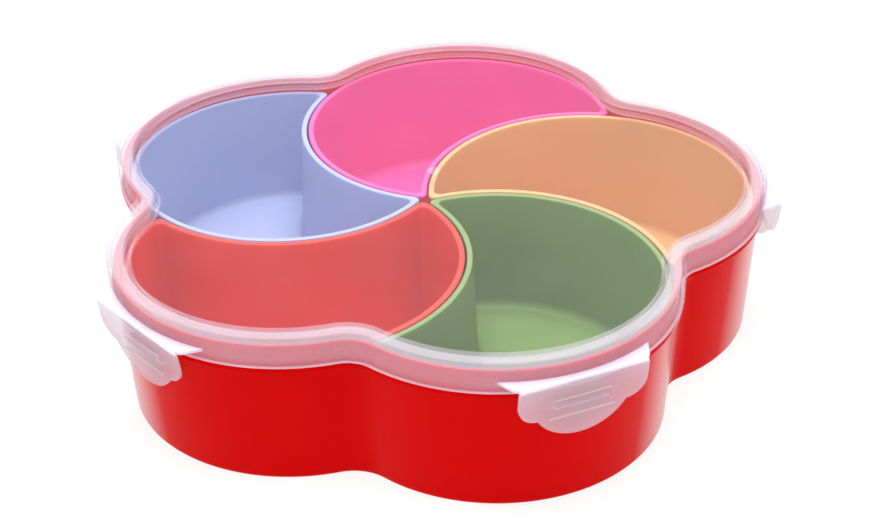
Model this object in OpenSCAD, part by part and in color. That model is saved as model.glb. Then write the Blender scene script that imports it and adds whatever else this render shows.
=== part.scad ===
// Chip and dip server: a five-lobed flower tray with five lift-out crescent
// inserts and a frosted press-on lid that locks with five hinged flaps.
// Millimetres, +Z up. The origin is on the flower's axis, on the underside of the tray.

/* [Flower outline] */
// Distance from the middle of the server to the centre of each lobe
lobe_pitch = 68; // [66:0.5:70]
// Radius of a lobe at the widest line of the lid
lobe_r = 72; // [71:0.5:73]
// Radius of the rounded notch between two lobes
notch_r = 12; // [10:0.5:14]

/* [Tray] */
// Height of the tray, from its underside to the top of its rim
tray_h = 62; // [61:0.25:63]
// Thickness of the tray wall at the rim
tray_wall = 2.1; // [1.8:0.1:2.3]
// Thickness of the tray floor
tray_floor = 2.4; // [2:0.1:2.6]
// How far the foot of the tray stands inside the widest line
foot_inset = 5.5; // [5:0.1:6]

/* [Inserts] */
// Radius of an insert at its rim
insert_r = 66.4; // [66:0.1:66.6]
// Height of the insert rims above the underside of the tray
insert_top = 56.5; // [55.5:0.25:57]
// Wall thickness of an insert
insert_wall = 1.3; // [1.1:0.1:1.6]
// Gap between the rims of neighbouring inserts
insert_gap = 0.9; // [0.8:0.1:1.4]

/* [Lid] */
// Height of the top of the lid above the underside of the tray
lid_top = 67; // [66.75:0.05:67.25]
// Depth of the flat panel below the rim of the lid
panel_drop = 4.4; // [4:0.1:4.6]
// Wall thickness of the lid
lid_wall = 1.5; // [1.4:0.1:1.6]
// Height of the lower edge of the lid's skirt
skirt_z = 53.5; // [53.4:0.1:54.5]

/* [Locking flaps] */
// Width of a locking flap
flap_w = 50.6; // [46:0.2:52]
// Length of a locking flap below its hinge
flap_drop = 26; // [25:0.5:26.5]
// Thickness of a locking flap
flap_t = 1.6; // [1.4:0.1:1.7]
// How far a closed flap leans in towards the tray, in degrees
flap_lean = 2; // [0:0.5:2.5]
// Height of the hinge line above the underside of the tray
hinge_z = 58; // [57.8:0.1:58.2]

/* [Hidden] */
$fn = 96;

// The five lobes, counted anticlockwise from the one at the back
lobes = 5;
lobe_step = 360 / lobes;
half_step = lobe_step / 2;
back = 0;
left = 1;
front_left = 2;
front_right = 3;
right = 4;

// Centre of the notch between a lobe on the X axis and the next one
notch_reach = lobe_pitch * cos(half_step)
    + sqrt(pow(lobe_r + notch_r, 2) - pow(lobe_pitch * sin(half_step), 2));
notch_x = notch_reach * cos(half_step);
notch_y = notch_reach * sin(half_step);
// Half the angle that a lobe's arc covers, and the start and span of a notch's arc
lobe_half = atan2(notch_y, notch_x - lobe_pitch);
notch_start = 180 + lobe_step - lobe_half;
notch_span = 2 * lobe_half - lobe_step;

// Straight cuts along the arcs of the flower's outline
lobe_cuts = 24;
notch_cuts = 8;

// Tray rim and the collar that shows under the lid's skirt
tray_rim_inset = 2.6;
collar_inset = 1;
collar_z = 51;
collar_h = 1.7;
foot_round = 1.2;
side_steps = 4;
// Catch rib that a flap hooks under
rib_w = 21;
rib_z = 46.4;
rib_h = 1.9;
rib_gap = 0.5;

// Insert stands on the tray floor
insert_base = tray_floor + 0.4;
insert_floor = 1.5;
insert_draft = 2.5;
insert_steps = 3;
heel = 2.2;
rim_lip = 0.9;
rim_lip_h = 1.6;
tip_trim = 3;
tip_reach = 107;

// Lid section
skirt_inset = 0.6;
rim_inner = 7.9;
plug_drop = 2.6;
seal_gap = 0.3;
gate_r = 3;
gate_x = 0.5;
gate_y = 13;

// Hinge line and flap, in a lobe's own frame with X pointing out
hinge_x = lobe_pitch + lobe_r + 1.3;
hinge_r = 0.7;
hinge_clear = 0.25;
ledge_w = 52;
ledge_flare = 4;
ledge_h = 1.2;
ledge_end = hinge_x - 0.9;
web_h = 0.6;
hook_w = 22;
hook_h = 1.3;
hook_reach = 1.6;
hook_drop = 12.4;
recess_w = 22.6;
recess_h = 3.2;
recess_drop = 11.3;
recess_deep = 0.7;
slit_w = 4;
slit_h = 0.9;
lip_h = 10;
lip_flare = 1.2;
tongue_r = 20.7;
shoulder_drop = 15.5;
shoulder_round = 8;

// Turn a child from the +X axis to a lobe, with the back lobe on +Y
module at_lobe(i) {
    rotate(90 + i * lobe_step) children();
}

// Outline of the flower, standing in from the widest line of the lid by inset
function flower_outline(inset) = [
    for (i = [0 : lobes - 1]) let (turn = 90 + i * lobe_step)
        for (p = concat(
            [for (k = [0 : lobe_cuts]) let (a = lobe_half * (2 * k / lobe_cuts - 1))
                [lobe_pitch + (lobe_r - inset) * cos(a), (lobe_r - inset) * sin(a)]],
            [for (k = [1 : notch_cuts - 1]) let (a = notch_start + notch_span * (1 - k / notch_cuts))
                [notch_x + (notch_r + inset) * cos(a), notch_y + (notch_r + inset) * sin(a)]]
        )) [p[0] * cos(turn) - p[1] * sin(turn), p[0] * sin(turn) + p[1] * cos(turn)]
];

// Solid flower layer, or a ring when the inner inset is given
module flower_layer(low, high, inset, inner = 0) {
    translate([0, 0, low])
        linear_extrude(high - low)
            if (inner > 0)
                difference() {
                    polygon(flower_outline(inset));
                    polygon(flower_outline(inner));
                }
            else
                polygon(flower_outline(inset));
}

module catch_rib(i) {
    wall_x = lobe_pitch + lobe_r - tray_rim_inset - 2;
    tip_x = hinge_x - (hinge_z - rib_z) * tan(flap_lean) - flap_t / 2 - rib_gap;
    at_lobe(i)
        translate([wall_x, -rib_w / 2, rib_z])
            cube([tip_x - wall_x, rib_w, rib_h]);
}

// Height and inset of the tray's side at each step of its draft, from the foot up
function side_z(k) = k * collar_z / side_steps;
function side_inset(k) = foot_inset - (foot_inset - tray_rim_inset) * k / side_steps;

module tray() {
    rim_in = tray_rim_inset + tray_wall;
    color("crimson") {
        difference() {
            union() {
                flower_layer(0, collar_z, foot_inset + foot_round);
                for (k = [0 : side_steps - 1])
                    flower_layer(max(side_z(k), foot_round), collar_z + 1, side_inset(k));
                flower_layer(collar_z, collar_z + collar_h, collar_inset);
                flower_layer(collar_z, tray_h, tray_rim_inset);
            }
            for (k = [0 : side_steps - 1])
                flower_layer(side_z(k) + tray_floor, tray_h + 1, side_inset(k) + tray_wall);
            flower_layer(collar_z, tray_h + 1, rim_in);
        }
        for (i = [0 : lobes - 1]) catch_rib(i);
    }
}

// Crescent seen from above: a lobe's disc less its clockwise neighbour's,
// standing in from the insert's widest line by inset, with its two points trimmed
module crescent_plan(inset) {
    difference() {
        translate([lobe_pitch, 0]) circle(insert_r - inset);
        rotate(-lobe_step) translate([lobe_pitch, 0]) circle(insert_r + insert_gap + inset);
        circle(tip_trim);
        rotate(-half_step) translate([tip_reach, -2 * tip_trim])
            square([2 * tip_trim, 4 * tip_trim]);
    }
}

module crescent_layer(low, high, inset) {
    translate([0, 0, low]) linear_extrude(high - low) crescent_plan(inset);
}

// Height and inset of an insert's side at each step of its draft, above its rounded heel
function insert_z(k) = insert_base + heel + k * (insert_top - insert_base - heel) / insert_steps;
function insert_inset(k) = rim_lip + insert_draft * (1 - k / insert_steps);

module crescent_insert(i) {
    lip_z = insert_top - rim_lip_h;
    floor_z = insert_base + insert_floor;
    at_lobe(i)
        difference() {
            union() {
                crescent_layer(insert_base, lip_z, insert_inset(0) + heel);
                for (k = [0 : insert_steps - 1])
                    crescent_layer(insert_z(k), insert_top, insert_inset(k));
                crescent_layer(lip_z, insert_top, 0);
            }
            crescent_layer(floor_z, lid_top, insert_inset(0) + heel + insert_wall);
            for (k = [0 : insert_steps - 1])
                crescent_layer(insert_z(k) + insert_floor, lid_top, insert_inset(k) + insert_wall);
        }
}

// Flat ledge outside the skirt that carries a hinge
module hinge_ledge(i) {
    root_r = lobe_r - skirt_inset - lid_wall / 2;
    at_lobe(i)
        translate([0, 0, hinge_z - ledge_h / 2])
            difference() {
                linear_extrude(ledge_h) polygon([
                    [ledge_end, -ledge_w / 2],
                    [ledge_end, ledge_w / 2],
                    [lobe_pitch + root_r * 0.9, ledge_w / 2 + ledge_flare],
                    [lobe_pitch + root_r * 0.9, -ledge_w / 2 - ledge_flare]
                ]);
                translate([lobe_pitch, 0, -1]) cylinder(h = ledge_h + 2, r = root_r);
            }
}

// Round dimple left where the lid was moulded
module gate_dimple() {
    deep = 0.4;
    translate([gate_x, gate_y, lid_top - panel_drop - deep])
        difference() {
            cylinder(h = 2 * deep, r = gate_r);
            cylinder(h = deep, r = gate_r * 0.6);
        }
}

module lid() {
    panel_z = lid_top - panel_drop;
    under = lid_top - lid_wall;
    skirt_in = skirt_inset + lid_wall;
    plug_in = rim_inner + lid_wall / 2;
    color([0.93, 0.9, 0.94, 0.6])
        difference() {
            union() {
                flower_layer(skirt_z, under + 0.4, skirt_inset, skirt_in);
                flower_layer(under, lid_top - 0.6, skirt_inset + 0.4, plug_in);
                flower_layer(lid_top - 0.7, lid_top, skirt_inset + 1.2, rim_inner);
                flower_layer(panel_z - lid_wall - plug_drop, under + 0.3, plug_in - lid_wall, plug_in);
                flower_layer(panel_z - lid_wall, panel_z, plug_in - lid_wall / 2);
                for (i = [0 : lobes - 1]) hinge_ledge(i);
            }
            gate_dimple();
        }
}

// Soft ring under the rim of the lid that the tray's rim presses on
module lid_seal() {
    out = skirt_inset + lid_wall + 0.2;
    inner = rim_inner - lid_wall / 2 - 0.2;
    top = lid_top - lid_wall;
    foot = tray_h + seal_gap;
    color("whitesmoke") {
        flower_layer(foot, top, out, inner);
        flower_layer(foot - 1.2, foot + 0.3, inner - 1.2, inner);
    }
}

// Thin flexing strip between the ledge and a flap, with its round bead on the hinge line
module hinge_strip(i) {
    length = flap_w - 0.6;
    color("white")
        at_lobe(i) translate([0, -length / 2, 0]) {
            translate([hinge_x, 0, hinge_z])
                rotate([-90, 0, 0]) cylinder(h = length, r = hinge_r, $fn = 32);
            translate([ledge_end, 0, hinge_z - web_h / 2])
                cube([hinge_x - ledge_end, length, web_h]);
        }
}

// Side view of a flap: a flat plate whose foot flares out as a finger lip
module flap_side() {
    in = hinge_x - flap_t / 2;
    out = hinge_x + flap_t / 2;
    foot = hinge_z - flap_drop;
    bend = foot + lip_h;
    polygon([
        [in, bend],
        [in, hinge_z],
        [out, hinge_z],
        [out, bend + 0.2],
        [out + lip_flare, foot],
        [in + lip_flare, foot]
    ]);
}

// Front view of a flap: a wide top with rounded shoulders and a round tongue below
module flap_front() {
    foot = hinge_z - flap_drop;
    intersection() {
        translate([-flap_w, foot]) square([2 * flap_w, flap_drop]);
        translate([0, foot + tongue_r]) circle(tongue_r);
    }
    hull() {
        translate([-flap_w / 2, hinge_z - 1]) square([flap_w, 1]);
        for (side = [-1, 1])
            translate([side * (flap_w / 2 - shoulder_round), hinge_z - shoulder_drop + shoulder_round])
                circle(shoulder_round);
    }
}

// Flap hanging straight down, with its hook inside and its recess outside
module straight_flap() {
    in = hinge_x - flap_t / 2;
    out = hinge_x + flap_t / 2;
    recess_z = hinge_z - recess_drop;
    difference() {
        union() {
            intersection() {
                rotate([90, 0, 0]) linear_extrude(flap_w + 2, center = true) flap_side();
                translate([in - 1, 0, 0])
                    rotate([90, 0, 90]) linear_extrude(flap_t + lip_flare + 2) flap_front();
            }
            translate([in - hook_reach, -hook_w / 2, hinge_z - hook_drop - hook_h])
                cube([hook_reach + 0.2, hook_w, hook_h]);
        }
        translate([out - recess_deep, -recess_w / 2, recess_z])
            cube([recess_deep + 1, recess_w, recess_h]);
        translate([in - 0.5, recess_w / 2 - slit_w, recess_z + recess_h - slit_h])
            cube([flap_t + 1, slit_w, slit_h]);
        translate([hinge_x, -flap_w / 2 - 1, hinge_z])
            rotate([-90, 0, 0]) cylinder(h = flap_w + 2, r = hinge_r + hinge_clear, $fn = 32);
    }
}

module flap(i) {
    color([0.9, 0.85, 0.9, 0.7])
        at_lobe(i)
            translate([hinge_x, 0, hinge_z]) rotate([0, flap_lean, 0])
                translate([-hinge_x, 0, -hinge_z]) straight_flap();
}

tray();
color("hotpink") crescent_insert(back);  // insert_pink
color("lightsteelblue") crescent_insert(left);  // insert_blue
color("tomato") crescent_insert(front_left);  // insert_red
color("darkseagreen") crescent_insert(front_right);  // insert_green
color("sandybrown") crescent_insert(right);  // insert_orange
lid();
lid_seal();
hinge_strip(back);  // hinge_back
hinge_strip(left);  // hinge_left
hinge_strip(front_left);  // hinge_front_left
hinge_strip(front_right);  // hinge_front_right
hinge_strip(right);  // hinge_right
flap(back);  // flap_back
flap(left);  // flap_left
flap(front_left);  // flap_front_left
flap(front_right);  // flap_front_right
flap(right);  // flap_right
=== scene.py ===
"""Chip and dip server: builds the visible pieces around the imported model.

A red five-lobed tray holds five crescent inserts under a frosted lid, which
locks with five flaps. All lengths are in metres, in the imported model's frame.
"""

import math

import bmesh
import bpy
from bpy.props import FloatProperty, FloatVectorProperty, PointerProperty
from mathutils import Matrix, Vector


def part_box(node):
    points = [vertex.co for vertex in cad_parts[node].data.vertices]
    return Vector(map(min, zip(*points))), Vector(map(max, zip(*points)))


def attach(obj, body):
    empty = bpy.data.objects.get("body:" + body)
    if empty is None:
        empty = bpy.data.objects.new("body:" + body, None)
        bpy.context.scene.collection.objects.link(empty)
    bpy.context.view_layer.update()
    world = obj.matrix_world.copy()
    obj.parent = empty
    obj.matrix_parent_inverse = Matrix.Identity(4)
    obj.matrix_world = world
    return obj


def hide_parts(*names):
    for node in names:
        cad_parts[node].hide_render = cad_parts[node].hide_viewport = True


bl_info = {
    "name": "Chip and Dip Server",
    "version": (1, 0, 0),
    "blender": (4, 5, 0),
    "location": "View3D > Sidebar > Server",
    "description": "Visible pieces of a five-lobed chip and dip server",
    "category": "Object",
}

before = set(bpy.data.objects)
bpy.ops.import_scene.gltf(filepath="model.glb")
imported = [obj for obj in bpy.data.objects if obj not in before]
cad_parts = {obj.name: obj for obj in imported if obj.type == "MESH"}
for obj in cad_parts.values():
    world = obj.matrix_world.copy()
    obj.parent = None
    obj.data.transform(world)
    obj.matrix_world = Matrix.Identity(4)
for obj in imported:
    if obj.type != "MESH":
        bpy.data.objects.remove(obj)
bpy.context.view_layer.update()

MM = 0.001
UP = Vector((0, 0, 1))
LOBE_NAMES = ("back", "left", "front_left", "front_right", "right")
LOBES = len(LOBE_NAMES)
LOBE_TURN = math.tau / LOBES
# The insert that lies in each lobe, in the order of LOBE_NAMES
INSERT_NAMES = ("pink", "blue", "red", "green", "orange")

# Corners of an arc, and the shortest edge that survives a merge
LOBE_STEPS = 56
NOTCH_STEPS = 18
CORNER_STEPS = 4
MERGE = 0.01 * MM
SHARP = math.radians(38)

TRAY_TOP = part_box("tray")[1].z
LID_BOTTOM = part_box("lid")[0].z
LID_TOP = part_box("lid")[1].z
INSERT_BASE, INSERT_TOP = (corner.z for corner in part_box("insert_pink"))
SEAL_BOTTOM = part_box("lid_seal")[0].z
# The back flap's hinge bead runs along X, and its middle is the hinge line
HINGE_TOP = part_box("hinge_back")[1]
HINGE_RADIUS = 0.7 * MM
HINGE_X = HINGE_TOP.y - HINGE_RADIUS
HINGE_Z = HINGE_TOP.z - HINGE_RADIUS
# The catch rib that a flap's hook reaches under
RIB_LOW, RIB_HIGH = 46.4 * MM, 48.3 * MM
RIB_HALF_WIDTH = 10.5 * MM


def length(name, description, default):
    return FloatProperty(
        name=name, description=description, default=default, unit="LENGTH", precision=5
    )


def colour(name, description, default):
    return FloatVectorProperty(
        name=name, description=description, default=default, subtype="COLOR", min=0, max=1
    )


class ServerSizes(bpy.types.PropertyGroup):
    """Sizes of the server's pieces"""

    lobe_pitch: length("Lobe pitch", "From the axis to a lobe's centre", 68 * MM)
    lobe_radius: length("Lobe radius", "Radius of a lobe at the lid's widest line", 72 * MM)
    notch_radius: length("Notch radius", "Radius of the notch between two lobes", 12 * MM)
    tray_wall: length("Tray wall", "Thickness of the tray's wall", 2.1 * MM)
    tray_floor: length("Tray floor", "Thickness of the tray's floor", 2.4 * MM)
    foot_inset: length("Foot inset", "How far the foot stands inside the widest line", 5.5 * MM)
    rim_inset: length("Rim inset", "How far the tray's rim stands inside the widest line", 2.6 * MM)
    insert_radius: length("Insert radius", "Radius of an insert at its rim", 66.4 * MM)
    insert_gap: length("Insert gap", "Gap between neighbouring inserts' rims", 0.9 * MM)
    insert_wall: length("Insert wall", "Thickness of an insert's wall", 1.3 * MM)
    insert_draft: length("Insert draft", "How far an insert's side leans in to its foot", 2.5 * MM)
    lid_wall: length("Lid wall", "Thickness of the lid", 1.5 * MM)
    panel_drop: length("Panel drop", "Depth of the lid's flat panel below its rim", 4.4 * MM)
    flap_width: length("Flap width", "Width of a locking flap", 50.6 * MM)
    flap_drop: length("Flap drop", "Length of a flap below its hinge", 25.3 * MM)
    flap_thickness: length("Flap thickness", "Thickness of a flap", 1.6 * MM)
    flap_lean: FloatProperty(
        name="Flap lean", description="How far a closed flap leans in to the tray",
        default=math.radians(8), subtype="ANGLE",
    )


class ServerColours(bpy.types.PropertyGroup):
    """Colours of the server's plastics"""

    tray: colour("Tray", "Opaque glossy tray", (0.7, 0.0, 0.0))
    pink: colour("Pink insert", "Insert in the back lobe", (1.0, 0.13, 0.5))
    blue: colour("Blue insert", "Insert in the left lobe", (0.5, 0.57, 0.86))
    red: colour("Red insert", "Insert in the front left lobe", (0.93, 0.05, 0.015))
    green: colour("Green insert", "Insert in the front right lobe", (0.27, 0.42, 0.13))
    orange: colour("Orange insert", "Insert in the right lobe", (0.9, 0.54, 0.24))
    frost: colour("Frosted plastic", "Lid, hinges and flaps", (0.86, 0.83, 0.96))


# ---------------------------------------------------------------- geometry


def lobe_angle(lobe):
    return math.pi / 2 + lobe * LOBE_TURN


def polar(reach, angle, height=0.0):
    return Vector((reach * math.cos(angle), reach * math.sin(angle), height))


def notch_centre_and_half(sizes):
    """How far out a notch's centre lies, and half the angle of a lobe's arc."""
    across = sizes.lobe_pitch * math.sin(LOBE_TURN / 2)
    along = sizes.lobe_pitch * math.cos(LOBE_TURN / 2)
    reach = along + math.sqrt((sizes.lobe_radius + sizes.notch_radius) ** 2 - across ** 2)
    notch = polar(reach, LOBE_TURN / 2)
    return reach, math.atan2(notch.y, notch.x - sizes.lobe_pitch)


def spin(bm, geom, centre, angle, steps, axis=UP):
    """Turn geometry about a centre, and return the last copy."""
    turned = bmesh.ops.spin(
        bm, geom=geom, cent=centre, axis=axis, dvec=(0, 0, 0), angle=angle,
        steps=steps, use_merge=False, use_duplicate=False,
    )
    return turned["geom_last"]


def rounded_section(corners, closed=False):
    """Points of a section through (inset, height, round) corners, each corner
    cut back by its round and bevelled to an arc."""
    bm = bmesh.new()
    verts = [bm.verts.new((inset, 0, height)) for inset, height, _ in corners]
    for first, second in zip(verts, verts[1:]):
        bm.edges.new((first, second))
    if closed:
        bm.edges.new((verts[-1], verts[0]))
    start = None if closed else verts[0].co.copy()
    for vert, (_, _, cut) in zip(verts, corners):
        if cut:
            bmesh.ops.bevel(
                bm, geom=[vert], offset=cut, offset_type="OFFSET", segments=CORNER_STEPS,
                profile=0.5, affect="VERTICES", material=-1, clamp_overlap=True,
            )
    if closed:
        vert = bm.verts[:][0]
    else:
        vert = min(bm.verts, key=lambda v: (v.co - start).length)
    points = []
    edge = None
    while vert is not None:
        points.append((vert.co.x, vert.co.z))
        edges = [e for e in vert.link_edges if e != edge]
        edge = edges[0] if edges else None
        vert = edge.other_vert(vert) if edge else None
        if closed and len(points) == len(bm.verts):
            break
    bm.free()
    return points


def repeat_round(bm):
    """Copy what is there to the other lobes."""
    bmesh.ops.spin(
        bm, geom=bm.verts[:] + bm.edges[:] + bm.faces[:], cent=(0, 0, 0), axis=UP,
        dvec=(0, 0, 0), angle=LOBE_TURN * (LOBES - 1), steps=LOBES - 1,
        use_merge=False, use_duplicate=True,
    )
    bmesh.ops.remove_doubles(bm, verts=bm.verts, dist=MERGE)


def run_round_flower(section, sizes, closed=False):
    """Run a section of (inset, height) points once round the flower's outline."""
    bm = bmesh.new()
    reach, half = notch_centre_and_half(sizes)
    angle = lobe_angle(0)
    centre = polar(sizes.lobe_pitch, angle)
    verts = [
        bm.verts.new(centre + polar(sizes.lobe_radius - inset, angle - half, height))
        for inset, height in section
    ]
    pairs = list(zip(verts, verts[1:]))
    if closed:
        pairs.append((verts[-1], verts[0]))
    geom = verts + [bm.edges.new(pair) for pair in pairs]
    geom = spin(bm, geom, centre, 2 * half, LOBE_STEPS)
    notch = polar(reach, angle + LOBE_TURN / 2)
    spin(bm, geom, notch, LOBE_TURN - 2 * half, NOTCH_STEPS)
    repeat_round(bm)
    return bm


def add_shapes(bm, other):
    """Add another bmesh's shapes, and free it."""
    mesh = bpy.data.meshes.new("passing")
    other.to_mesh(mesh)
    other.free()
    bm.from_mesh(mesh)
    bpy.data.meshes.remove(mesh)


def close_flats(bm):
    """Fill every open ring with one flat face."""
    rim = [edge for edge in bm.edges if edge.is_boundary]
    bmesh.ops.holes_fill(bm, edges=rim, sides=0)


def block(bm, low, high, place, edge=0.25 * MM):
    """Add a box between two corners of a lobe's own frame, with rounded edges."""
    low, high = Vector(low), Vector(high)
    made = bmesh.ops.create_cube(bm, size=1)["verts"]
    bmesh.ops.scale(bm, vec=high - low, verts=made)
    bmesh.ops.translate(bm, vec=(low + high) / 2, verts=made)
    edges = list({e for vert in made for e in vert.link_edges})
    made = bmesh.ops.bevel(
        bm, geom=edges, offset=edge, offset_type="OFFSET", segments=2, profile=0.5,
        affect="EDGES", material=-1, clamp_overlap=True,
    )["verts"]
    bmesh.ops.transform(bm, matrix=place, verts=list(set(made)))


def bevel_sharp(bm, faces, offset, segments=2):
    """Round the edges of these faces that turn sharply, and return the new faces."""
    edges = {e for face in faces for e in face.edges}
    sharp = [e for e in edges if e.is_manifold and e.calc_face_angle() > SHARP]
    return bmesh.ops.bevel(
        bm, geom=sharp, offset=offset, offset_type="OFFSET", segments=segments,
        profile=0.5, affect="EDGES", material=-1, clamp_overlap=True,
    )["faces"]


def finish_piece(bm, name, finish, body, slot, *replaced):
    """Turn a bmesh into a piece that rides on a body and stands for CAD nodes."""
    bmesh.ops.remove_doubles(bm, verts=bm.verts, dist=MERGE)
    bmesh.ops.recalc_face_normals(bm, faces=bm.faces)
    mesh = bpy.data.meshes.new(name)
    bm.to_mesh(mesh)
    bm.free()
    for face in mesh.polygons:
        face.use_smooth = True
    mesh.set_sharp_from_angle(angle=SHARP)
    mesh.materials.append(finish)
    piece = bpy.data.objects.new(name, mesh)
    bpy.context.scene.collection.objects.link(piece)
    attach(piece, body)
    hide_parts(*replaced)
    return piece


# --------------------------------------------------------------- materials


def add_node(tree, kind, values=None, **settings):
    """Add a node, set its properties, and set its inputs by name."""
    made = tree.nodes.new(kind)
    for name, value in settings.items():
        setattr(made, name, value)
    for name, value in (values or {}).items():
        made.inputs[name].default_value = value
    return made


def new_finish(name):
    """An empty material, its node tree and the place of a point on the piece."""
    finish = bpy.data.materials.new(name)
    finish.use_nodes = True
    tree = finish.node_tree
    tree.nodes.clear()
    place = add_node(tree, "ShaderNodeTexCoord").outputs["Object"]
    return finish, tree, place


def noise(tree, place, scale, detail=2.0):
    made = add_node(tree, "ShaderNodeTexNoise", {"Scale": scale, "Detail": detail})
    tree.links.new(place, made.inputs["Vector"])
    return made.outputs["Fac"]


def spread(tree, source, low, high, low_in=0.3, high_in=0.7):
    """Map a value from one range to another."""
    values = {"From Min": low_in, "From Max": high_in, "To Min": low, "To Max": high}
    made = add_node(tree, "ShaderNodeMapRange", values)
    tree.links.new(source, made.inputs["Value"])
    return made.outputs["Result"]


def height(tree, place):
    made = add_node(tree, "ShaderNodeSeparateXYZ")
    tree.links.new(place, made.inputs["Vector"])
    return made.outputs["Z"]


def mixed_colour(tree, share, first, second):
    made = add_node(tree, "ShaderNodeMix", data_type="RGBA")
    made.inputs[6].default_value = (*first, 1)
    made.inputs[7].default_value = (*second, 1)
    tree.links.new(share, made.inputs["Factor"])
    return made.outputs[2]


def mixed_shader(tree, share, first, second):
    """Mix two shaders by a fixed share or by a linked one."""
    made = add_node(tree, "ShaderNodeMixShader")
    if isinstance(share, float):
        made.inputs["Fac"].default_value = share
    else:
        tree.links.new(share, made.inputs["Fac"])
    tree.links.new(first, made.inputs[1])
    tree.links.new(second, made.inputs[2])
    return made.outputs["Shader"]


def bump(tree, source, strength, distance):
    made = add_node(tree, "ShaderNodeBump", {"Strength": strength, "Distance": distance})
    tree.links.new(source, made.inputs["Height"])
    return made.outputs["Normal"]


def output(tree, shader):
    made = add_node(tree, "ShaderNodeOutputMaterial")
    tree.links.new(shader, made.inputs["Surface"])


def shade(tone, amount):
    """A colour moved towards white, or towards black when the amount is negative."""
    target = 1.0 if amount > 0 else 0.0
    return tuple(c + (target - c) * abs(amount) for c in tone)


def by_height(tree, place, stops):
    """A value that follows (height, value) stops: the lowest, the highest, then the rest."""
    low, high = stops[0][0], stops[1][0]
    ramp = add_node(tree, "ShaderNodeValToRGB")
    elements = ramp.color_ramp.elements
    for level, value in stops[2:]:
        elements.new((level - low) / (high - low)).color = (value, value, value, 1)
    for element, (_, value) in ((elements[0], stops[0]), (elements[-1], stops[1])):
        element.color = (value, value, value, 1)
    tree.links.new(
        spread(tree, height(tree, place), 0.0, 1.0, low, high), ramp.inputs["Fac"]
    )
    return ramp.outputs["Color"]


def tray_finish(tone):
    """Glossy opaque plastic with a faint ripple, uneven polish and pale glancing edges."""
    finish, tree, place = new_finish("glossy_tray_plastic")
    cloud = noise(tree, place, 14.0)
    ripple = noise(tree, place, 160.0)
    grain = noise(tree, place, 1500.0, 3.0)
    normal = bump(tree, ripple, 0.12, 0.05 * MM)
    plastic = add_node(
        tree, "ShaderNodeBsdfPrincipled", {"Specular IOR Level": 0.03, "IOR": 1.49}
    )
    tree.links.new(
        mixed_colour(tree, cloud, shade(tone, -0.1), tone), plastic.inputs["Base Color"]
    )
    tree.links.new(spread(tree, grain, 0.2, 0.27), plastic.inputs["Roughness"])
    tree.links.new(normal, plastic.inputs["Normal"])
    sheen = add_node(
        tree, "ShaderNodeBsdfAnisotropic", {"Color": (1, 0.93, 0.94, 1), "Roughness": 0.25}
    )
    tree.links.new(normal, sheen.inputs["Normal"])
    glance = add_node(tree, "ShaderNodeLayerWeight", {"Blend": 0.5})
    share = spread(tree, glance.outputs["Facing"], 0.0, 0.5, 0.66, 1.0)
    output(tree, mixed_shader(tree, share, plastic.outputs["BSDF"], sheen.outputs["BSDF"]))
    return finish


def insert_finish(name, tone):
    """Tinted plastic that lets a little light through, paler along its rim as a painted highlight.
    """
    finish, tree, place = new_finish(f"tinted_plastic_{name}")
    cloud = noise(tree, place, 22.0)
    grain = noise(tree, place, 900.0, 3.0)
    # Painted highlight: a band just under the rim's top is painted paler, where the rim catches
    # light.
    rim = by_height(tree, place, [(INSERT_TOP - 1.2 * MM, 0.0), (INSERT_TOP - 0.3 * MM, 1.0)])
    rim_highlight = add_node(tree, "ShaderNodeMix", data_type="RGBA")
    rim_highlight.inputs[7].default_value = (*shade(tone, 0.06), 1)
    tree.links.new(rim, rim_highlight.inputs["Factor"])
    body = mixed_colour(tree, cloud, shade(tone, -0.08), shade(tone, 0.03))
    tree.links.new(body, rim_highlight.inputs[6])
    # The tint carries the painted rim highlight into every shader below.
    tinted = rim_highlight.outputs[2]
    plastic = add_node(
        tree, "ShaderNodeBsdfPrincipled", {"Specular IOR Level": 0.2, "IOR": 1.49}
    )
    tree.links.new(tinted, plastic.inputs["Base Color"])
    tree.links.new(spread(tree, grain, 0.3, 0.4), plastic.inputs["Roughness"])
    glow = add_node(tree, "ShaderNodeBsdfTranslucent")
    tree.links.new(tinted, glow.inputs["Color"])
    clear = add_node(tree, "ShaderNodeBsdfTransparent")
    tree.links.new(tinted, clear.inputs["Color"])
    solid = mixed_shader(tree, 0.3, plastic.outputs["BSDF"], glow.outputs["BSDF"])
    output(tree, mixed_shader(tree, 0.1, solid, clear.outputs["BSDF"]))
    return finish


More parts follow.
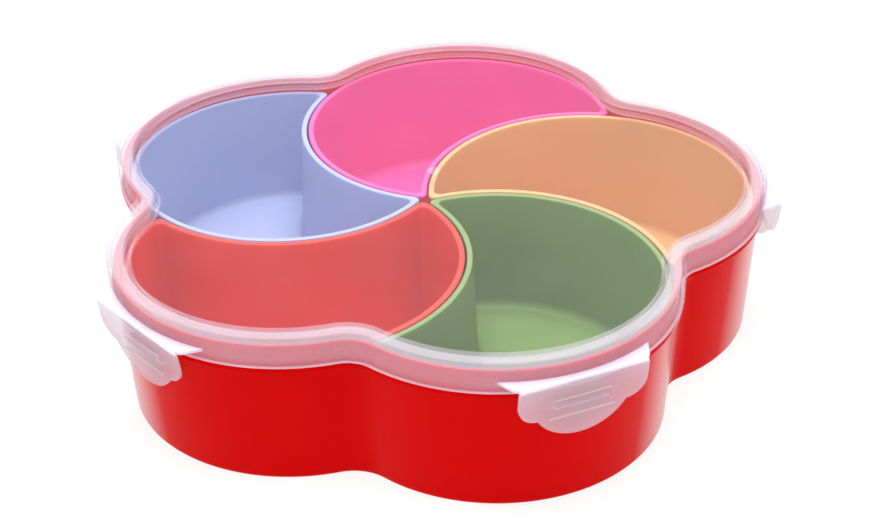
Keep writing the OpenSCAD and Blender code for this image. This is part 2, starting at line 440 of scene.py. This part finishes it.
def frosted_finish(name, tone, haze, rough=0.3):
    """Frosted plastic: a milky haze over what lies behind it. The haze is one
    share, or (height, share) stops where it thins out or gathers."""
    finish, tree, place = new_finish(name)
    cloud = noise(tree, place, 30.0)
    grain = noise(tree, place, 1200.0, 3.0)
    if isinstance(haze, float):
        milk = spread(tree, cloud, haze * 0.9, haze * 1.1)
    else:
        vary = spread(tree, cloud, 0.9, 1.1)
        product = add_node(tree, "ShaderNodeMath", operation="MULTIPLY")
        tree.links.new(by_height(tree, place, haze), product.inputs[0])
        tree.links.new(vary, product.inputs[1])
        milk = product.outputs["Value"]
    # Seen at a glance the plastic is thicker, so it is less clear; its colour is also darkened
    # there as painted shade along the glancing edges.
    glance = add_node(tree, "ShaderNodeLayerWeight", {"Blend": 0.5}).outputs["Facing"]
    thick = add_node(tree, "ShaderNodeMath", operation="ADD", use_clamp=True)
    tree.links.new(milk, thick.inputs[0])
    tree.links.new(spread(tree, glance, 0.0, 0.3, 0.7, 1.0), thick.inputs[1])
    milk = thick.outputs["Value"]
    plastic = add_node(
        tree, "ShaderNodeBsdfPrincipled", {"Specular IOR Level": 0.4, "IOR": 1.49}
    )
    # Painted shade: the base colour darkens towards the glancing edges, drawing an outline against
    # the pale backdrop.
    edge = spread(tree, glance, 0.0, 1.0, 0.6, 0.95)
    tree.links.new(
        mixed_colour(tree, edge, tone, shade(tone, -0.6)), plastic.inputs["Base Color"]
    )
    tree.links.new(spread(tree, grain, rough - 0.05, rough + 0.05), plastic.inputs["Roughness"])
    tree.links.new(bump(tree, grain, 0.08, 0.02 * MM), plastic.inputs["Normal"])
    glow = add_node(tree, "ShaderNodeBsdfTranslucent", {"Color": (*tone, 1)})
    clear = add_node(tree, "ShaderNodeBsdfTransparent")
    solid = mixed_shader(tree, 0.4, plastic.outputs["BSDF"], glow.outputs["BSDF"])
    output(tree, mixed_shader(tree, milk, clear.outputs["BSDF"], solid))
    return finish


# --------------------------------------------------------------- operators


class SERVER_OT_stage(bpy.types.Operator):
    """Add the floor, the studio light and the camera"""

    bl_idname = "server.stage"
    bl_label = "Stage"

    def add_floor(self):
        bm = bmesh.new()
        bmesh.ops.create_grid(bm, x_segments=1, y_segments=1, size=4)
        bmesh.ops.translate(bm, vec=(0, 0, -0.1 * MM), verts=bm.verts)
        mesh = bpy.data.meshes.new("studio_floor")
        bm.to_mesh(mesh)
        bm.free()
        finish, tree, place = new_finish("pale_floor")
        paper = add_node(tree, "ShaderNodeBsdfDiffuse")
        cloud = noise(tree, place, 3.0)
        tree.links.new(
            mixed_colour(tree, cloud, (0.93, 0.93, 0.93), (0.95, 0.95, 0.95)),
            paper.inputs["Color"],
        )
        lit = add_node(tree, "ShaderNodeEmission", {"Strength": 1.02})
        output(tree, mixed_shader(tree, 0.82, paper.outputs["BSDF"], lit.outputs["Emission"]))
        mesh.materials.append(finish)
        floor = bpy.data.objects.new("studio_floor", mesh)
        bpy.context.scene.collection.objects.link(floor)

    def add_softbox(self, name, azimuth, elevation, distance, side, power):
        """An area light that looks at the server from a direction."""
        away = Vector((
            math.sin(azimuth) * math.cos(elevation),
            -math.cos(azimuth) * math.cos(elevation),
            math.sin(elevation),
        ))
        light = bpy.data.lights.new(name, "AREA")
        light.size = side
        light.energy = power
        softbox = bpy.data.objects.new(name, light)
        softbox.location = away * distance
        softbox.rotation_euler = away.to_track_quat("Z", "Y").to_euler()
        bpy.context.scene.collection.objects.link(softbox)

    def add_sky(self):
        world = bpy.data.worlds.new("white_studio")
        world.use_nodes = True
        sky = world.node_tree.nodes["Background"]
        sky.inputs["Color"].default_value = (1, 1, 1, 1)
        sky.inputs["Strength"].default_value = 0.65
        bpy.context.scene.world = world

    def add_camera(self):
        azimuth = math.radians(13.42)
        elevation = math.radians(33.21)
        roll = math.radians(-1.35)
        distance = 0.7695
        back = Vector((
            math.sin(azimuth) * math.cos(elevation),
            -math.cos(azimuth) * math.cos(elevation),
            math.sin(elevation),
        ))
        right = Vector((math.cos(azimuth), math.sin(azimuth), 0))
        turn = Matrix((right, back.cross(right), back)).transposed().to_4x4()
        data = bpy.data.cameras.new("camera")
        data.lens = 74.66
        data.shift_x = 0.0078
        data.shift_y = 0.0598
        data.clip_start = 0.01
        camera = bpy.data.objects.new("camera", data)
        camera.matrix_world = (
            Matrix.Translation(back * distance) @ turn @ Matrix.Rotation(roll, 4, "Z")
        )
        bpy.context.scene.collection.objects.link(camera)
        bpy.context.scene.camera = camera

    def execute(self, context):
        self.add_floor()
        self.add_sky()
        self.add_softbox("key_softbox", math.radians(-50), math.radians(45), 1.4, 1.2, 3)
        self.add_softbox("side_softbox", math.radians(100), math.radians(35), 1.4, 1.0, 2)
        self.add_softbox("back_softbox", math.radians(190), math.radians(60), 1.4, 1.2, 4)
        self.add_softbox("top_softbox", 0, math.radians(89), 1.4, 0.8, 25)
        self.add_camera()
        context.scene.view_settings.view_transform = "Standard"
        return {"FINISHED"}


class SERVER_OT_tray(bpy.types.Operator):
    """Build the tray with its collar, rim and catch ribs"""

    bl_idname = "server.tray"
    bl_label = "Tray"

    def execute(self, context):
        sizes = context.scene.server_sizes
        foot = sizes.foot_inset
        rim = sizes.rim_inset
        inner = rim + sizes.tray_wall
        foot_ring = 5 * MM
        foot_lift = 0.8 * MM
        collar_low = LID_BOTTOM - 2.6 * MM
        collar_high = LID_BOTTOM - 0.7 * MM
        section = rounded_section([
            (foot + 2 * foot_ring, foot_lift, 0),
            (foot + foot_ring + foot_lift, foot_lift, 0.4 * MM),
            (foot + foot_ring, 0, 0.4 * MM),
            (foot, 0, 1.8 * MM),
            (rim + 0.15 * MM, collar_low, 0.3 * MM),
            (1.0 * MM, collar_low, 0.35 * MM),
            (1.0 * MM, collar_high, 0.5 * MM),
            (rim, collar_high, 0.3 * MM),
            (rim, TRAY_TOP, 0.8 * MM),
            (inner, TRAY_TOP, 0.8 * MM),
            (foot + sizes.tray_wall, sizes.tray_floor, 3 * MM),
            (foot + 3 * foot_ring, sizes.tray_floor, 0),
        ])
        bm = run_round_flower(section, sizes)
        close_flats(bm)
        wall = sizes.lobe_pitch + sizes.lobe_radius - rim - 1 * MM
        leaf = HINGE_X - (HINGE_Z - RIB_LOW) * math.tan(sizes.flap_lean)
        rib_tip = leaf - sizes.flap_thickness / 2 - 0.5 * MM
        ribs = bmesh.new()
        block(
            ribs, (wall, -RIB_HALF_WIDTH, RIB_LOW), (rib_tip, RIB_HALF_WIDTH, RIB_HIGH),
            Matrix.Rotation(lobe_angle(0), 4, "Z"),
        )
        repeat_round(ribs)
        add_shapes(bm, ribs)
        finish = tray_finish(tuple(context.scene.server_colours.tray))
        finish_piece(bm, "tray_shell", finish, "tray", "tray", "tray")
        return {"FINISHED"}


class SERVER_OT_inserts(bpy.types.Operator):
    """Build the five crescent inserts"""

    bl_idname = "server.inserts"
    bl_label = "Inserts"

    # Radius of an insert's two points, and the steps of its arcs
    tip_radius = 2.5 * MM
    outer_steps = 90
    inner_steps = 44
    tip_steps = 8

    def ring(self, bm, sizes, inset, height):
        """One level line of a crescent: its outer arc, a point, its hollow arc, a point."""
        own = polar(sizes.lobe_pitch, 0, height)
        other = polar(sizes.lobe_pitch, -LOBE_TURN, height)
        own_r = sizes.insert_radius - inset
        other_r = sizes.insert_radius + sizes.insert_gap + inset
        # The centre of each point's arc lies inside the lobe and outside its neighbour
        near = own_r - self.tip_radius
        far = other_r + self.tip_radius
        between = other - own
        apart = between.length
        along = (near ** 2 - far ** 2 + apart ** 2) / (2 * apart)
        aside = math.sqrt(near ** 2 - along ** 2)
        across = UP.cross(between).normalized()
        foot = own + between.normalized() * along
        tips = (foot + across * aside, foot - across * aside)
        outer_tip = max(tips, key=lambda tip: tip.xy.length)
        inner_tip = min(tips, key=lambda tip: tip.xy.length)

        def bearing(point, centre):
            return math.atan2(point.y - centre.y, point.x - centre.x)

        start = bearing(outer_tip, own)
        outer_turn = (bearing(inner_tip, own) - start) % math.tau
        hollow_turn = -((bearing(inner_tip, other) - bearing(outer_tip, other)) % math.tau)
        tip_turn = (math.tau - outer_turn - hollow_turn) / 2
        first = bm.verts.new(own + polar(own_r, start))
        geom = spin(bm, [first], own, outer_turn, self.outer_steps)
        geom = spin(bm, geom, inner_tip, tip_turn, self.tip_steps)
        geom = spin(bm, geom, other, hollow_turn, self.inner_steps)
        geom = spin(bm, geom, outer_tip, tip_turn, self.tip_steps)
        last = geom[0]
        bmesh.ops.pointmerge(bm, verts=[first, last], merge_co=first.co)

    def draw_out(self, bm, order, places):
        """Extrude the last ring, and move each of its corners to its next place."""
        last = [edge for edge in bm.edges if all(vert in order for vert in edge.verts)]
        made = bmesh.ops.extrude_edge_only(bm, edges=last)["geom"]
        following = {}
        for vert in [part for part in made if isinstance(part, bmesh.types.BMVert)]:
            mates = [edge.other_vert(vert) for edge in vert.link_edges]
            following[vert] = next(order[mate] for mate in mates if mate in order)
        for vert, index in following.items():
            vert.co = places[index]
        return following

    def execute(self, context):
        sizes = context.scene.server_sizes
        colours = context.scene.server_colours
        lip = 0.9 * MM
        lip_depth = 1.6 * MM
        foot = lip + sizes.insert_draft
        floor_z = INSERT_BASE + 1.5 * MM
        flat = 5 * MM
        section = rounded_section([
            (foot + flat, INSERT_BASE, 0),
            (foot, INSERT_BASE, 2.6 * MM),
            (lip + 0.1 * MM, INSERT_TOP - lip_depth, 0.3 * MM),
            (0, INSERT_TOP - lip_depth, 0.35 * MM),
            (0, INSERT_TOP, 0.5 * MM),
            (lip + sizes.insert_wall, INSERT_TOP, 0.5 * MM),
            (foot + sizes.insert_wall, floor_z, 4 * MM),
            (foot + sizes.insert_wall + flat, floor_z, 0),
        ])
        crescent = bmesh.new()
        self.ring(crescent, sizes, *section[0])
        order = {vert: index for index, vert in enumerate(crescent.verts)}
        for inset, height in section[1:]:
            level = bmesh.new()
            self.ring(level, sizes, inset, height)
            order = self.draw_out(crescent, order, [vert.co.copy() for vert in level.verts])
            level.free()
        close_flats(crescent)
        for lobe, name in enumerate(INSERT_NAMES):
            bm = crescent.copy()
            bmesh.ops.rotate(
                bm, cent=(0, 0, 0), matrix=Matrix.Rotation(lobe_angle(lobe), 3, "Z"),
                verts=bm.verts,
            )
            finish = insert_finish(name, tuple(getattr(colours, name)))
            node = f"insert_{name}"
            finish_piece(bm, f"{node}_shell", finish, node, node, node)
        crescent.free()
        return {"FINISHED"}


class SERVER_OT_lid(bpy.types.Operator):
    """Build the lid with its rim, skirt, flat panel and hinge ledges"""

    bl_idname = "server.lid"
    bl_label = "Lid"

    def add_gate_mark(self, bm, panel):
        """Small round button with a ring, left in the panel by the mould."""
        button = Vector((0.5 * MM, 13 * MM, panel - 0.1 * MM))
        section = rounded_section([
            (0, 0.55 * MM, 0),
            (1.1 * MM, 0.55 * MM, 0.3 * MM),
            (1.5 * MM, 0.2 * MM, 0.2 * MM),
            (2.3 * MM, 0.5 * MM, 0.3 * MM),
            (3 * MM, 0, 0),
        ])
        mark = bmesh.new()
        verts = [mark.verts.new(button + polar(reach, 0, z)) for reach, z in section]
        edges = [mark.edges.new(pair) for pair in zip(verts, verts[1:])]
        spin(mark, verts + edges, button, math.tau, 32)
        bmesh.ops.remove_doubles(mark, verts=mark.verts, dist=MERGE)
        close_flats(mark)
        add_shapes(bm, mark)

    def ledge(self, sizes):
        """Flat ledge between the skirt and the back hinge line."""
        bm = bmesh.new()
        width = sizes.flap_width + 1.4 * MM
        flare = 4 * MM
        thickness = 1.2 * MM
        front = HINGE_X - 0.5 * MM
        skirt = sizes.lobe_radius - 1.2 * MM
        half = math.asin((width / 2 + flare) / skirt)
        centre = polar(sizes.lobe_pitch, 0, HINGE_Z + thickness / 2)
        first = bm.verts.new(centre + polar(skirt, -half))
        last = spin(bm, [first], centre, 2 * half, 20)[0]
        corners = [
            bm.verts.new((front, side * width / 2, HINGE_Z + thickness / 2))
            for side in (1, -1)
        ]
        bm.edges.new((last, corners[0]))
        bm.edges.new(corners)
        bm.edges.new((corners[1], first))
        bmesh.ops.bevel(
            bm, geom=corners, offset=2 * MM, offset_type="OFFSET", segments=4,
            profile=0.5, affect="VERTICES", material=-1, clamp_overlap=True,
        )
        face = bmesh.ops.contextual_create(bm, geom=bm.edges[:])["faces"]
        lower = bmesh.ops.extrude_face_region(bm, geom=face)["geom"]
        lower = [part for part in lower if isinstance(part, bmesh.types.BMVert)]
        bmesh.ops.translate(bm, vec=-UP * thickness, verts=lower)
        bmesh.ops.recalc_face_normals(bm, faces=bm.faces)
        bevel_sharp(bm, bm.faces[:], 0.3 * MM)
        for face in bm.faces:
            face.material_index = 2
        turn = Matrix.Rotation(lobe_angle(0), 3, "Z")
        bmesh.ops.rotate(bm, cent=(0, 0, 0), matrix=turn, verts=bm.verts)
        return bm

    def execute(self, context):
        sizes = context.scene.server_sizes
        wall = sizes.lid_wall
        panel = LID_TOP - sizes.panel_drop
        under = LID_TOP - wall
        skirt = 0.6 * MM
        rim = 7.9 * MM
        plug = rim + wall / 2
        plug_z = panel - wall - 2.6 * MM
        flat = 4 * MM
        section = rounded_section([
            (plug + flat, panel - wall, 0),
            (plug, panel - wall, 0.5 * MM),
            (plug, plug_z, 0.35 * MM),
            (plug - wall, plug_z, 0.35 * MM),
            (plug - wall, under, 1.0 * MM),
            (skirt + wall, under, 1.4 * MM),
            (skirt + wall, LID_BOTTOM, 0.3 * MM),
            (skirt, LID_BOTTOM, 0.4 * MM),
            (skirt, LID_TOP, 1.6 * MM),
            (rim, LID_TOP, 1.2 * MM),
            (plug, panel, 1.2 * MM),
            (plug + flat, panel, 0),
        ])
        bm = run_round_flower(section, sizes)
        close_flats(bm)
        ledges = self.ledge(sizes)
        repeat_round(ledges)
        add_shapes(bm, ledges)
        self.add_gate_mark(bm, panel)
        tone = tuple(context.scene.server_colours.frost)
        haze = [
            (LID_BOTTOM, 0.7), (LID_TOP, 0.16), (LID_BOTTOM + 0.5 * MM, 0.14),
            (LID_BOTTOM + 3.5 * MM, 0.27), (LID_BOTTOM + 6 * MM, 0.26), (LID_TOP - 2 * MM, 0.16),
        ]
        finish = frosted_finish("frosted_lid_plastic", tone, haze)
        cover = finish_piece(bm, "lid_cover", finish, "lid", "lid", "lid")
        cover.data.materials.append(frosted_finish("frosted_panel_plastic", tone, 0.042))
        cover.data.materials.append(frosted_finish("frosted_ledge_plastic", tone, 0.65))
        for face in cover.data.polygons:
            level = panel - wall - 0.1 * MM < face.center.z < panel + 0.1 * MM
            if level and abs(face.normal.z) > 0.99:
                face.material_index = 1
        return {"FINISHED"}


class SERVER_OT_seal(bpy.types.Operator):
    """Build the soft ring under the lid's rim"""

    bl_idname = "server.seal"
    bl_label = "Seal"

    def execute(self, context):
        sizes = context.scene.server_sizes
        outer = 2.4 * MM
        inner = 6.9 * MM
        lip = 1.2 * MM
        top = LID_TOP - sizes.lid_wall - 0.05 * MM
        foot = TRAY_TOP + 0.3 * MM
        section = rounded_section([
            (outer, foot, 0.3 * MM),
            (outer, top, 0.3 * MM),
            (inner, top, 0.3 * MM),
            (inner, SEAL_BOTTOM, 0.3 * MM),
            (inner - lip, SEAL_BOTTOM, 0.3 * MM),
            (inner - lip, foot, 0.2 * MM),
        ], closed=True)
        bm = run_round_flower(section, sizes, closed=True)
        finish = frosted_finish("milky_silicone", (0.9, 0.88, 0.9), 0.2, rough=0.5)
        finish_piece(bm, "seal_ring", finish, "lid", "seal", "lid_seal")
        return {"FINISHED"}


class SERVER_OT_hinges(bpy.types.Operator):
    """Give the thin hinge strips their pale, flexed plastic"""

    bl_idname = "server.hinges"
    bl_label = "Hinges"

    def execute(self, context):
        finish = frosted_finish("flexed_hinge_plastic", (0.95, 0.93, 0.98), 0.6, rough=0.35)
        for name in LOBE_NAMES:
            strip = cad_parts[f"hinge_{name}"]
            strip.data.materials.clear()
            strip.data.materials.append(finish)
        return {"FINISHED"}


class SERVER_OT_flaps(bpy.types.Operator):
    """Build the five locking flaps"""

    bl_idname = "server.flaps"
    bl_label = "Flaps"

    def add_outline(self, bm, sizes):
        """Front of a flap: rounded shoulders and a round tongue, as one face at X = 0."""
        sideways = Vector((1, 0, 0))
        half = sizes.flap_width / 2
        tongue_r = 20.7 * MM
        shoulder_r = 8 * MM
        shoulder_z = HINGE_Z - 15.5 * MM + shoulder_r
        tongue = Vector((0, 0, HINGE_Z - sizes.flap_drop + tongue_r))
        shoulder = Vector((0, half - shoulder_r, shoulder_z))
        between = tongue - shoulder
        apart = between.length
        along = (shoulder_r ** 2 - tongue_r ** 2 + apart ** 2) / (2 * apart)
        aside = math.sqrt(shoulder_r ** 2 - along ** 2)
        towards = between.normalized()
        meet = shoulder + towards * along + sideways.cross(towards) * aside
        shoulder_turn = math.atan2(meet.z - shoulder.z, meet.y - shoulder.y)
        tongue_turn = -math.pi - 2 * math.atan2(meet.z - tongue.z, meet.y)
        first = bm.verts.new((0, half, shoulder_z))
        inner = spin(bm, [first], shoulder, shoulder_turn, 10, sideways)
        outer = spin(bm, inner, tongue, tongue_turn, 26, sideways)
        shoulder.y = -shoulder.y
        last = spin(bm, outer, shoulder, shoulder_turn, 10, sideways)[0]
        top = HINGE_Z - HINGE_RADIUS * 0.7
        corners = [bm.verts.new((0, y, top)) for y in (-half, half)]
        bm.edges.new((last, corners[0]))
        bm.edges.new(corners)
        bm.edges.new((corners[1], first))
        bmesh.ops.contextual_create(bm, geom=bm.edges[:])

    def add_leaf(self, bm, sizes):
        """A flap in a lobe's own frame, with its recess, slit, lip and hook."""
        half = 11.3 * MM
        recess_low, recess_high = HINGE_Z - 11.3 * MM, HINGE_Z - 8.1 * MM
        slit_side, slit_low = 7.3 * MM, HINGE_Z - 9 * MM
        recess = 0.7 * MM
        bend_drop = 16 * MM
        bend = HINGE_Z - bend_drop
        lip = sizes.flap_drop - bend_drop
        flare = 0.6 * MM
        thickness = sizes.flap_thickness
        self.add_outline(bm, sizes)
        rows = [recess_high, slit_low, recess_low, bend]
        rows += [bend - lip * share for share in (0.15, 0.35, 0.6)]
        cuts = [((0, 0, z), (0, 0, 1)) for z in rows]
        cuts += [((0, y, 0), (0, 1, 0)) for y in (-half, slit_side, half)]
        for point, normal in cuts:
            bmesh.ops.bisect_plane(
                bm, geom=bm.verts[:] + bm.edges[:] + bm.faces[:], dist=0.001 * MM,
                plane_co=point, plane_no=normal,
            )
        made = bmesh.ops.extrude_face_region(bm, geom=bm.faces[:])["geom"]
        inner = [part for part in made if isinstance(part, bmesh.types.BMVert)]
        bmesh.ops.translate(bm, vec=(-thickness, 0, 0), verts=inner)

        def within(left, right, low, high, x):
            found = []
            for face in bm.faces:
                middle = face.calc_center_median()
                level = low < middle.z < high and abs(middle.x - x) < MM / 10
                if level and left < middle.y < right:
                    found.append(face)
            return found

        pocket = within(-half, half, recess_low, recess_high, 0)
        moved = bmesh.ops.extrude_face_region(bm, geom=pocket)["geom"]
        moved = [part for part in moved if isinstance(part, bmesh.types.BMVert)]
        bmesh.ops.translate(bm, vec=(-recess, 0, 0), verts=moved)
        spare = [face for face in pocket if face.is_valid]
        bmesh.ops.delete(bm, geom=spare, context="FACES")
        slit = within(slit_side, half, slit_low, recess_high, -recess)
        slit += within(slit_side, half, slit_low, recess_high, -thickness)
        bmesh.ops.delete(bm, geom=slit, context="FACES")
        bmesh.ops.bridge_loops(bm, edges=[e for e in bm.edges if e.is_boundary])
        for vert in bm.verts:
            drop = bend - vert.co.z
            if drop > 0:
                vert.co.x += flare * drop / lip
        bmesh.ops.recalc_face_normals(bm, faces=bm.faces)
        # The bevelled edges take the second material, a painted highlight.
        for face in bevel_sharp(bm, bm.faces[:], 0.3 * MM):
            face.material_index = 1
        block(
            bm, (-0.2 * MM, -13 * MM, bend - 0.5 * MM), (0.25 * MM, 13 * MM, bend + 0.5 * MM),
            Matrix.Identity(4), 0.2 * MM,
        )
        hook_tip, hook_root = -thickness - 1.6 * MM, 0.2 * MM - thickness
        hook_low, hook_high = HINGE_Z - 13.7 * MM, HINGE_Z - 12.4 * MM
        block(
            bm, (hook_tip, -half, hook_low), (hook_root, half, hook_high), Matrix.Identity(4)
        )
        bmesh.ops.translate(bm, vec=(HINGE_X + thickness / 2, 0, 0), verts=bm.verts)
        bmesh.ops.rotate(
            bm, cent=(HINGE_X, 0, HINGE_Z), matrix=Matrix.Rotation(sizes.flap_lean, 3, "Y"),
            verts=bm.verts,
        )

    def execute(self, context):
        sizes = context.scene.server_sizes
        tone = shade(tuple(context.scene.server_colours.frost), 0.25)
        finish = frosted_finish("frosted_flap_plastic", tone, 0.42)
        # Paler, more opaque plastic for the bevelled edges: a painted highlight where they catch
        # light.
        edge = frosted_finish("bright_flap_edge", shade(tone, 0.5), 0.75)
        for lobe, name in enumerate(LOBE_NAMES):
            bm = bmesh.new()
            self.add_leaf(bm, sizes)
            bmesh.ops.rotate(
                bm, cent=(0, 0, 0), matrix=Matrix.Rotation(lobe_angle(lobe), 3, "Z"),
                verts=bm.verts,
            )
            node = f"flap_{name}"
            leaf = finish_piece(bm, f"{node}_leaf", finish, node, "lid", node)
            leaf.data.materials.append(edge)
        return {"FINISHED"}


class SERVER_PT_tools(bpy.types.Panel):
    """Buttons for the server's pieces"""

    bl_label = "Chip and Dip Server"
    bl_idname = "SERVER_PT_tools"
    bl_space_type = "VIEW_3D"
    bl_region_type = "UI"
    bl_category = "Server"

    def draw(self, context):
        for operator in OPERATORS:
            self.layout.operator(operator.bl_idname)


OPERATORS = (
    SERVER_OT_stage,
    SERVER_OT_tray,
    SERVER_OT_inserts,
    SERVER_OT_lid,
    SERVER_OT_seal,
    SERVER_OT_hinges,
    SERVER_OT_flaps,
)
CLASSES = (ServerSizes, ServerColours) + OPERATORS + (SERVER_PT_tools,)


def register():
    for cls in CLASSES:
        bpy.utils.register_class(cls)
    bpy.types.Scene.server_sizes = PointerProperty(type=ServerSizes)
    bpy.types.Scene.server_colours = PointerProperty(type=ServerColours)


def unregister():
    del bpy.types.Scene.server_colours
    del bpy.types.Scene.server_sizes
    for cls in reversed(CLASSES):
        bpy.utils.unregister_class(cls)


def main():
    register()
    bpy.ops.server.stage()
    bpy.ops.server.tray()
    bpy.ops.server.inserts()
    bpy.ops.server.lid()
    bpy.ops.server.seal()
    bpy.ops.server.hinges()
    bpy.ops.server.flaps()


if __name__ == "__main__":
    main()
